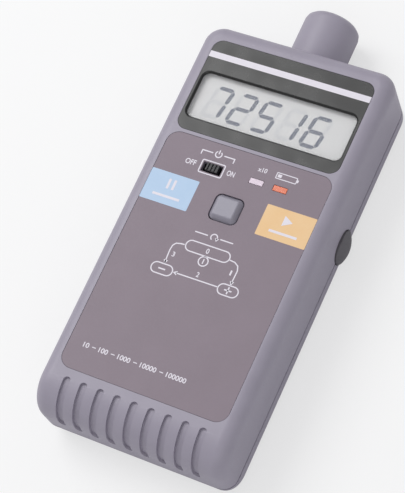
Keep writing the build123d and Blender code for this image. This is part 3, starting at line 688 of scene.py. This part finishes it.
@dataclass
class FaceLabel:
    """Printed label on the face, with its fields, marks and diagram."""

    top: float = 28.45
    ink: float = 0.03
    line: float = 0.42
    hold_field: tuple[Point, Point] = ((-30.9, 4.75), (-12.9, 16.3))
    start_field: tuple[Point, Point] = ((12.75, 4.9), (30.9, 16.4))
    switch_frame: tuple[Point, Point] = ((-15.3, 19.75), (-6.8, 24.55))

    def build(self) -> None:
        """Builds the label and each colour of ink on it."""
        dressed_copy("face_label", Body.CASE, Slot.LABEL, LABEL_FILM, 0.08, 1)
        self.field("hold_field", self.hold_field, BLUE_INK)
        self.field("start_field", self.start_field, ORANGE_INK)
        self.legends()
        self.diagram()
        self.scale_of_range()

    def ink_piece(self, name: str, artwork: Artwork, finish: Finish, lift: float = 0.0) -> None:
        """Turns artwork into an inked piece on the label.

        Args:
            name: name of the piece.
            artwork: gathered shapes.
            finish: ink.
            lift: extra height for ink that lies on other ink.
        """
        piece = to_object(name, artwork.mesh(self.top + lift, self.ink), [finish])
        join_to(piece, Body.CASE, Slot.LABEL)

    def field(self, name: str, corners: tuple[Point, Point], finish: Finish) -> None:
        """Prints one coloured field.

        Args:
            name: name of the piece.
            corners: its lower left and upper right corners.
            finish: its ink.
        """
        artwork = Artwork()
        artwork.area(rounded_box(*corners, 0.3, 2))
        self.ink_piece(name, artwork, finish)

    def legends(self) -> None:
        """Prints the plain marks beside the switch, lamps and buttons."""
        marks = Artwork()
        marks.line(rounded_box(*self.switch_frame, 0.5, 3), self.line, closed=True)
        marks.word("OFF", (-21.1, 21.3), (-17.1, 23.3))
        marks.word("ON", (-5.4, 21.4), (-2.5, 23.4))
        self.power_mark(marks, (-10.95, 27.75))
        marks.word("x10", (4.3, 26.3), (7.6, 28.0))
        self.cell_mark(marks, (11.2, 25.9), (18.6, 28.0))
        self.recall_mark(marks, (0.4, -0.8))
        self.ink_piece("switch_and_lamp_marks", marks, PALE_INK)
        marks = Artwork()
        for x in (-22.9, -20.9):
            marks.area(rounded_box((x - 0.45, 10.4), (x + 0.45, 14.2), 0.2, 2))
        marks.line([(-27.0, 7.6), (-16.8, 7.6)], 0.9)
        marks.arrow((23.6, 12.3), (1, 0), 3.4, 3.8)
        marks.line([(16.8, 7.7), (27.0, 7.7)], 0.9)
        self.ink_piece("button_field_marks", marks, PALE_INK, self.ink)

    def power_mark(self, marks: Artwork, centre: Point) -> None:
        """Adds the usual ring with a stroke in its gap, between two level lines.

        Args:
            marks: artwork that gets it.
            centre: middle of the ring.
        """
        x, y = centre
        radius = 1.15
        arc = [math.radians(a) for a in range(125, 416, 15)]
        marks.line([(x + radius * math.cos(a), y + radius * math.sin(a)) for a in arc], self.line)
        marks.line([(x, y + 0.1), (x, y + 1.6)], self.line)
        for side in (-1, 1):
            marks.line([(x + side * 2.1, y), (x + side * 6.1, y), (x + side * 6.1, y - 1.6)], self.line)

    def cell_mark(self, marks: Artwork, low: Point, high: Point) -> None:
        """Adds the outline of a cell with one bar left in it.

        Args:
            marks: artwork that gets it.
            low: lower left corner.
            high: upper right corner.
        """
        marks.line(rounded_box(low, high, 0.2, 2), 0.32, closed=True)
        middle = (low[1] + high[1]) / 2
        marks.area([(high[0] + 0.16, middle - 0.5), (high[0] + 0.7, middle - 0.5), (high[0] + 0.7, middle + 0.5), (high[0] + 0.16, middle + 0.5)])
        marks.area([(low[0] + 0.5, low[1] + 0.5), (low[0] + 1.9, low[1] + 0.5), (low[0] + 1.9, high[1] - 0.5), (low[0] + 0.5, high[1] - 0.5)])

    def recall_mark(self, marks: Artwork, centre: Point) -> None:
        """Adds a turning arrow between two level lines.

        Args:
            marks: artwork that gets it.
            centre: middle of the arrow.
        """
        x, y = centre
        radius = 1.15
        arc = [math.radians(a) for a in range(-30, 241, 15)]
        marks.line([(x + radius * math.cos(a), y + radius * math.sin(a)) for a in arc], self.line)
        marks.arrow((x + radius, y - 1.3), (0.0, -1), 1.2, 1.5)
        for side in (-1, 1):
            marks.line([(x + side * 2.3, y), (x + side * 7.1, y)], self.line)

    def diagram(self) -> None:
        """Prints the diagram of how the recall button steps through its readings."""
        art = Artwork()
        pills = (
            ((-7.7, -8.0), (8.6, -4.1)),
            ((-15.7, -18.8), (-7.9, -15.0)),
            ((9.1, -18.6), (16.4, -14.8)),
        )
        for low, high in pills:
            art.line(rounded_box(low, high, (high[1] - low[1]) / 2 - 0.05, 6), self.line, closed=True)
        art.word("0", (-0.1, -7.0), (1.0, -5.1))
        art.line([(-13.1, -16.9), (-10.5, -16.9)], 0.5)
        art.line([(11.4, -16.7), (14.1, -16.7)], 0.5)
        art.line([(12.75, -18.0), (12.75, -15.4)], 0.5)
        ring = [(0.5 + 1.7 * math.cos(math.radians(a)), -9.9 + 1.7 * math.sin(math.radians(a))) for a in range(0, 360, 20)]
        art.line(ring, self.line, closed=True)
        art.line([(0.5, -10.8), (0.5, -9.0)], 0.4)
        art.line([(-11.8, -14.6), (-12.1, -9.9), (-11.9, -8.0), (-11.1, -6.9), (-9.5, -6.5), (-8.1, -6.4)], self.line)
        art.arrow((-11.8, -15.0), (0, -1), 1.5, 1.6)
        art.line([(8.8, -6.5), (10.8, -6.7), (12.3, -7.6), (12.9, -9.2), (12.8, -14.0)], self.line)
        art.arrow((12.8, -14.8), (0, -1), 1.5, 1.6)
        art.line([(9.0, -16.6), (-6.6, -16.7)], self.line)
        art.arrow((-7.7, -16.7), (-1, 0), 1.5, 1.6)
        art.word("3", (-10.7, -11.7), (-9.7, -9.9))
        art.word("2", (0.3, -15.7), (1.3, -13.9))
        art.word("1", (10.8, -11.5), (11.4, -9.7))
        self.ink_piece("recall_diagram", art, PALE_INK)

    def scale_of_range(self) -> None:
        """Prints the decades of the measuring range as plain numbers."""
        art = Artwork()
        ends = ((-25.4, -23.3), (-19.6, -16.2), (-12.5, -7.8), (-4.1, 1.9), (5.6, 12.9))
        for power, (left, right) in enumerate(ends):
            art.word("1" + "0" * (power + 1), (left, -51.0), (right, -49.2))
        for (_, left), (right, _) in zip(ends, ends[1:]):
            middle = (left + right) / 2
            art.line([(middle - 0.7, -50.1), (middle + 0.7, -50.1)], 0.3)
        self.ink_piece("range_numbers", art, PALE_INK)


@dataclass
class Display:
    """Black panel, clear window and the liquid crystal display behind it."""

    panel_top: float = 28.5
    glass_top: float = 26.0
    ink: float = 0.03
    stripe: tuple[Point, Point] = ((-30.45, 61.5), (30.45, 63.8))
    digit_left: float = -23.1
    digit_low: float = 40.4
    digit_high: float = 53.0
    digit_width: float = 7.2
    digit_pitch: float = 9.3
    stroke: float = 1.45
    slant: float = 10.0
    reading: str = "72516"
    point_after: int = 3

    LIT = {"7": "abc", "2": "abged", "5": "afgcd", "1": "bc", "6": "afgecd"}

    def build(self) -> None:
        """Builds the panel, window, glass and digits."""
        dressed_copy("display_bezel", Body.CASE, Slot.PANEL, PANEL_ABS, 0.12)
        dressed_copy("display_window", Body.CASE, Slot.CLEAR, WINDOW_PC, 0.1)
        dressed_copy("lcd_glass", Body.CASE, Slot.DISPLAY, DISPLAY_GLASS, 0.15)
        art = Artwork()
        art.area(rounded_box(*self.stripe, 0.1, 1))
        piece = to_object("panel_stripe", art.mesh(self.panel_top, self.ink), [PALE_INK])
        join_to(piece, Body.CASE, Slot.PANEL)
        self.segments("display_segments", True, SEGMENT_ON)
        self.segments("idle_segments", False, SEGMENT_OFF)

    def segments(self, name: str, lit: bool, finish: Finish) -> None:
        """Builds the segments of all digits that are lit, or those that are not.

        Args:
            name: name of the piece.
            lit: which of the two sets is built.
            finish: finish of the segments.
        """
        height = self.digit_high - self.digit_low
        post = (height - self.stroke) / 2
        bar = self.digit_width - self.stroke
        places = {
            "a": (0, post, False),
            "b": (bar / 2, post / 2, True),
            "c": (bar / 2, -post / 2, True),
            "d": (0, -post, False),
            "e": (-bar / 2, -post / 2, True),
            "f": (-bar / 2, post / 2, True),
            "g": (0, 0, False),
        }
        spots = bmesh.new()
        upright = spots.verts.layers.int.new("upright")
        middle = (self.digit_low + self.digit_high) / 2
        for number, digit in enumerate(self.reading):
            centre = self.digit_left + self.digit_width / 2 + number * self.digit_pitch
            for letter, (x, y, is_post) in places.items():
                if (letter in self.LIT[digit]) == lit:
                    vertex = spots.verts.new((centre + x, middle + y, 0))
                    vertex[upright] = int(is_post)
        mesh = bpy.data.meshes.new("spots")
        spots.to_mesh(mesh)
        spots.free()
        holder = bpy.data.objects.new("spots", mesh)
        bpy.context.scene.collection.objects.link(holder)
        gap = 0.22
        values = {
            "Bar Length": bar - gap,
            "Post Length": post - gap,
            "Stroke": self.stroke,
            "Depth": self.ink,
            "Slant": math.tan(math.radians(self.slant)),
            "Level": self.glass_top + self.ink / 2,
            "Base": self.digit_high,
            "Material": finish.material(),
        }
        run_tree(holder, segment_tree(), values)
        piece = to_object(name, baked(holder), [finish])
        join_to(piece, Body.CASE, Slot.DISPLAY)


def run_tree(holder: bpy.types.Object, tree: bpy.types.NodeTree, values: dict[str, object]) -> None:
    """Puts a node tree on an object and sets its named inputs.

    Args:
        holder: object that gets the tree.
        tree: geometry node tree.
        values: value of each input, by its name.
    """
    modifier = holder.modifiers.new(tree.name, "NODES")
    modifier.node_group = tree
    for item in tree.interface.items_tree:
        if item.item_type == "SOCKET" and item.in_out == "INPUT" and item.name in values:
            modifier[item.identifier] = values[item.name]


def new_tree(name: str, sizes: Sequence[str]) -> tuple[bpy.types.NodeTree, bpy.types.Node]:
    """Starts a geometry node tree with a mesh, sizes and a material as inputs.

    Args:
        name: name of the tree.
        sizes: names of its number inputs.

    Returns:
        The tree and its input node.
    """
    tree = bpy.data.node_groups.new(name, "GeometryNodeTree")
    tree.interface.new_socket("Geometry", in_out="OUTPUT", socket_type="NodeSocketGeometry")
    tree.interface.new_socket("Geometry", in_out="INPUT", socket_type="NodeSocketGeometry")
    for size in sizes:
        tree.interface.new_socket(size, in_out="INPUT", socket_type="NodeSocketFloat")
    tree.interface.new_socket("Material", in_out="INPUT", socket_type="NodeSocketMaterial")
    return tree, add_node(tree, "NodeGroupInput")


def end_tree(tree: bpy.types.NodeTree, start: bpy.types.Node, shape: bpy.types.NodeSocket) -> None:
    """Realizes what a tree made, scales it to metres and sets its material.

    Args:
        tree: geometry node tree.
        start: its input node.
        shape: geometry in millimetres.
    """
    real = add_node(tree, "GeometryNodeRealizeInstances", {"Geometry": shape})
    metres = add_node(tree, "GeometryNodeTransform", {"Geometry": real.outputs[0], "Scale": (MM, MM, MM)})
    dressed = add_node(
        tree, "GeometryNodeSetMaterial", {"Geometry": metres.outputs[0], "Material": start.outputs["Material"]}
    )
    add_node(tree, "NodeGroupOutput", {"Geometry": dressed.outputs[0]})


def segment_tree() -> bpy.types.NodeTree:
    """Builds the tree that puts a pointed bar or post at each spot and slants them all."""
    known = bpy.data.node_groups.get("display_segments")
    if known:
        return known
    tree, start = new_tree(
        "display_segments", ("Bar Length", "Post Length", "Stroke", "Depth", "Slant", "Level", "Base")
    )
    stroke = start.outputs["Stroke"]
    prism = add_node(tree, "GeometryNodeMeshCylinder", {"Vertices": 6, "Radius": 1.0, "Depth": start.outputs["Depth"]})
    place = add_node(tree, "GeometryNodeInputPosition")
    parts = add_node(tree, "ShaderNodeSeparateXYZ", {0: place.outputs[0]})
    sign = add_node(tree, "ShaderNodeMath", {0: parts.outputs["X"]}, operation="SIGN")
    widened = add_node(tree, "ShaderNodeMath", {0: parts.outputs["X"], 1: stroke}, operation="MULTIPLY")
    across = add_node(tree, "ShaderNodeMath", {0: parts.outputs["Y"], 1: stroke}, operation="MULTIPLY")
    half = add_node(tree, "ShaderNodeMath", {0: across.outputs[0], 1: math.sqrt(3)}, operation="DIVIDE")
    kinds = []
    for name, turn in (("Bar Length", 0.0), ("Post Length", math.pi / 2)):
        middle = add_node(tree, "ShaderNodeMath", {0: start.outputs[name], 1: 0.5}, operation="MULTIPLY")
        inner = add_node(tree, "ShaderNodeMath", {0: middle.outputs[0], 1: stroke}, operation="SUBTRACT")
        reach = add_node(
            tree,
            "ShaderNodeMath",
            {0: sign.outputs[0], 1: inner.outputs[0], 2: widened.outputs[0]},
            operation="MULTIPLY_ADD",
        )
        spot = add_node(
            tree, "ShaderNodeCombineXYZ", {"X": reach.outputs[0], "Y": half.outputs[0], "Z": parts.outputs["Z"]}
        )
        shaped = add_node(
            tree, "GeometryNodeSetPosition", {"Geometry": prism.outputs["Mesh"], "Position": spot.outputs[0]}
        )
        turned = add_node(
            tree, "GeometryNodeTransform", {"Geometry": shaped.outputs[0], "Rotation": (0.0, 0.0, turn)}
        )
        kinds.append(add_node(tree, "GeometryNodeGeometryToInstance", {0: turned.outputs[0]}).outputs[0])
    both = add_node(tree, "GeometryNodeJoinGeometry")
    for kind in reversed(kinds):
        tree.links.new(kind, both.inputs[0])
    upright = add_node(tree, "GeometryNodeInputNamedAttribute", {"Name": "upright"}, data_type="INT")
    placed = add_node(
        tree,
        "GeometryNodeInstanceOnPoints",
        {
            "Points": start.outputs["Geometry"],
            "Instance": both.outputs[0],
            "Pick Instance": True,
            "Instance Index": upright.outputs["Attribute"],
        },
    )
    real = add_node(tree, "GeometryNodeRealizeInstances", {"Geometry": placed.outputs[0]})
    lean_place = add_node(tree, "GeometryNodeInputPosition")
    lean_parts = add_node(tree, "ShaderNodeSeparateXYZ", {0: lean_place.outputs[0]})
    above = add_node(
        tree, "ShaderNodeMath", {0: lean_parts.outputs["Y"], 1: start.outputs["Base"]}, operation="SUBTRACT"
    )
    lean = add_node(tree, "ShaderNodeMath", {0: above.outputs[0], 1: start.outputs["Slant"]}, operation="MULTIPLY")
    shift = add_node(tree, "ShaderNodeCombineXYZ", {"X": lean.outputs[0], "Z": start.outputs["Level"]})
    leaned = add_node(tree, "GeometryNodeSetPosition", {"Geometry": real.outputs[0], "Offset": shift.outputs[0]})
    end_tree(tree, start, leaned.outputs[0])
    return tree


@dataclass
class Controls:
    """Slide switch, face button, side buttons and lamps."""

    def build(self) -> None:
        """Builds each control."""
        dressed_copy("power_switch_knob", Body.POWER_KNOB, Slot.BLACK, KNOB_ABS, 0.12)
        dressed_copy("recall_button", Body.RECALL, Slot.BUTTON, BUTTON_ABS, 0.3)
        dressed_copy("start_button", Body.START, Slot.SIDE_BUTTON, SIDE_BUTTON_ABS, 0.45, 3)
        dressed_copy("hold_button", Body.HOLD, Slot.SIDE_BUTTON, SIDE_BUTTON_ABS, 0.45, 3)
        dressed_copy("range_led", Body.CASE, Slot.PALE_LAMP, PALE_LAMP, 0.1)
        dressed_copy("low_battery_led", Body.CASE, Slot.ORANGE_LAMP, ORANGE_LAMP, 0.1)


@dataclass
class SensorBarrel:
    """Round barrel on the upper end with its ring and filter."""

    def build(self) -> None:
        """Builds the barrel and what closes its front."""
        dressed_copy("sensor_barrel", Body.CASE, Slot.CASE, CASE_ABS, 0.15)
        dressed_copy("lens_ring", Body.CASE, Slot.BLACK, BLACK_ABS, 0.12)
        dressed_copy("red_filter", Body.CASE, Slot.FILTER, RED_GLASS, 0.1)


@dataclass
class BatteryBay:
    """Cells and their contacts under the door."""

    cell_edge: float = 0.5
    end_slope: float = 0.9
    band_share: float = 0.24

    def build(self) -> None:
        """Builds the cells and dresses the contacts."""
        for number in range(1, 5):
            self.cell(number)
            for kind in ("plate", "spring"):
                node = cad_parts[f"contact_{kind}_{number}"]
                node.material_slots[0].material = NICKEL_STEEL.material()

    def cell(self, number: int) -> None:
        """Builds one cell with its jacket, band and bare ends.

        Args:
            number: number of the cell, from 1.
        """
        node = f"battery_cell_{number}"
        low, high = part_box(node)
        nub_up = number % 2 == 1
        length = (high.y - low.y) / MM
        split = high.y / MM - length * self.band_share if nub_up else low.y / MM + length * self.band_share
        jacket = CellJacket(
            f"printed_jacket_{number}", "#1d2a4a", "#233256", 0.28, Relief.FILM, grain=2.0, depth=0.006,
            split=split, nub_up=nub_up,
        )
        shape = merged_copy(node)
        mesh = bpy.data.meshes.new(node)
        shape.to_mesh(mesh)
        shape.free()
        mesh = soften(mesh, self.cell_edge, 3)
        piece = to_object(f"{node}.skin", mesh, [jacket, NICKEL_STEEL])
        for polygon in mesh.polygons:
            polygon.material_index = int(abs(polygon.normal.y) > self.end_slope)
        join_to(piece, Body.CASE, Slot.CELL, node)


@dataclass
class Insides:
    """Boards, switches and other pieces inside the case, which keep their CAD shapes."""

    finishes: dict[str, Finish] = field(default_factory=lambda: dict(INNER_FINISHES))

    def build(self) -> None:
        """Gives each inner node its finish."""
        for name, finish in self.finishes.items():
            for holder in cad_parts[name].material_slots:
                holder.material = finish.material()
            log.info("%s keeps its shape", name)


@dataclass
class Studio:
    """Pale floor, soft lamps and the camera at the photograph's angle."""

    camera_place: tuple[float, float, float] = (228.386, -186.182, 590.693)
    camera_right: tuple[float, float, float] = (0.88291, 0.40943, -0.22988)
    camera_up: tuple[float, float, float] = (-0.29740, 0.86646, 0.40100)
    lens: float = 170.07
    sensor: float = 36.0
    floor_size: float = 5000.0
    floor_drop: float = 0.05
    sky: float = 0.5

    def build(self) -> None:
        """Builds camera, lamps, sky and floor."""
        self.camera()
        self.world()
        self.lamp("key_lamp", (-620.0, 260.0, 900.0), 700.0, 6.5)
        self.lamp("fill_lamp", (500.0, -700.0, 700.0), 700.0, 1.2)
        self.floor()

    def camera(self) -> None:
        """Places the camera."""
        data = bpy.data.cameras.new("camera")
        data.lens = self.lens
        data.sensor_fit = "HORIZONTAL"
        data.sensor_width = self.sensor
        data.clip_start = 0.01
        right, up = Vector(self.camera_right), Vector(self.camera_up)
        back = right.cross(up)
        turn = Matrix((right, up, back)).transposed().to_4x4()
        camera = bpy.data.objects.new("camera", data)
        camera.matrix_world = Matrix.Translation(Vector(self.camera_place) * MM) @ turn
        bpy.context.scene.collection.objects.link(camera)
        bpy.context.scene.camera = camera

    def world(self) -> None:
        """Makes a soft grey sky that the camera sees as white."""
        world = bpy.data.worlds.new("sky")
        bpy.context.scene.world = world
        world.use_nodes = True
        tree = world.node_tree
        tree.nodes.clear()
        path = add_node(tree, "ShaderNodeLightPath")
        soft = add_node(tree, "ShaderNodeBackground", {"Color": linear("#fbfcff"), "Strength": self.sky})
        white = add_node(tree, "ShaderNodeBackground", {"Color": linear("#ffffff"), "Strength": 1.0})
        mixed = add_node(
            tree, "ShaderNodeMixShader", {0: path.outputs["Is Camera Ray"], 1: soft.outputs[0], 2: white.outputs[0]}
        )
        add_node(tree, "ShaderNodeOutputWorld", {"Surface": mixed.outputs[0]})

    def lamp(self, name: str, place: tuple[float, float, float], size: float, power: float) -> None:
        """Adds a square lamp that faces the object.

        Args:
            name: name of the lamp.
            place: where it hangs.
            size: its side.
            power: its power in watts.
        """
        data = bpy.data.lights.new(name, "AREA")
        data.size = size * MM
        data.energy = power
        lamp = bpy.data.objects.new(name, data)
        lamp.location = Vector(place) * MM
        lamp.rotation_euler = (-Vector(place)).to_track_quat("-Z", "Y").to_euler()
        bpy.context.scene.collection.objects.link(lamp)

    def floor(self) -> None:
        """Makes the pale floor, which keeps the object's shadow."""
        shape = bmesh.new()
        half = self.floor_size * MM / 2
        bmesh.ops.create_grid(shape, x_segments=8, y_segments=8, size=half)
        bmesh.ops.translate(shape, verts=shape.verts, vec=(0, 0, -self.floor_drop * MM))
        mesh = bpy.data.meshes.new("floor")
        shape.to_mesh(mesh)
        shape.free()
        floor = bpy.data.objects.new("floor", mesh)
        material = bpy.data.materials.new("white_paper_floor")
        material.use_nodes = True
        tree = material.node_tree
        tree.nodes.clear()
        path = add_node(tree, "ShaderNodeLightPath")
        paper = add_node(
            tree, "ShaderNodeBsdfPrincipled", {"Base Color": linear("#f4f4f4"), "Roughness": 0.9}
        )
        glow = add_node(tree, "ShaderNodeEmission", {"Color": linear("#ffffff"), "Strength": 1.0})
        share = add_node(
            tree, "ShaderNodeMath", {0: path.outputs["Is Camera Ray"], 1: 0.6}, operation="MULTIPLY"
        )
        mixed = add_node(
            tree, "ShaderNodeMixShader", {0: share.outputs[0], 1: paper.outputs[0], 2: glow.outputs[0]}
        )
        add_node(tree, "ShaderNodeOutputMaterial", {"Surface": mixed.outputs[0]})
        mesh.materials.append(material)
        bpy.context.scene.collection.objects.link(floor)


def main() -> None:
    """Builds the studio and every sub-assembly in order."""
    logging.basicConfig(level=logging.INFO, format="%(name)s: %(message)s")
    bpy.context.scene.view_settings.view_transform = "Standard"
    for part in (Studio(), Shell(), FaceLabel(), Display(), Controls(), SensorBarrel(), BatteryBay(), Insides()):
        part.build()
        log.info("%s done", type(part).__name__)


if __name__ == "__main__":
    main()
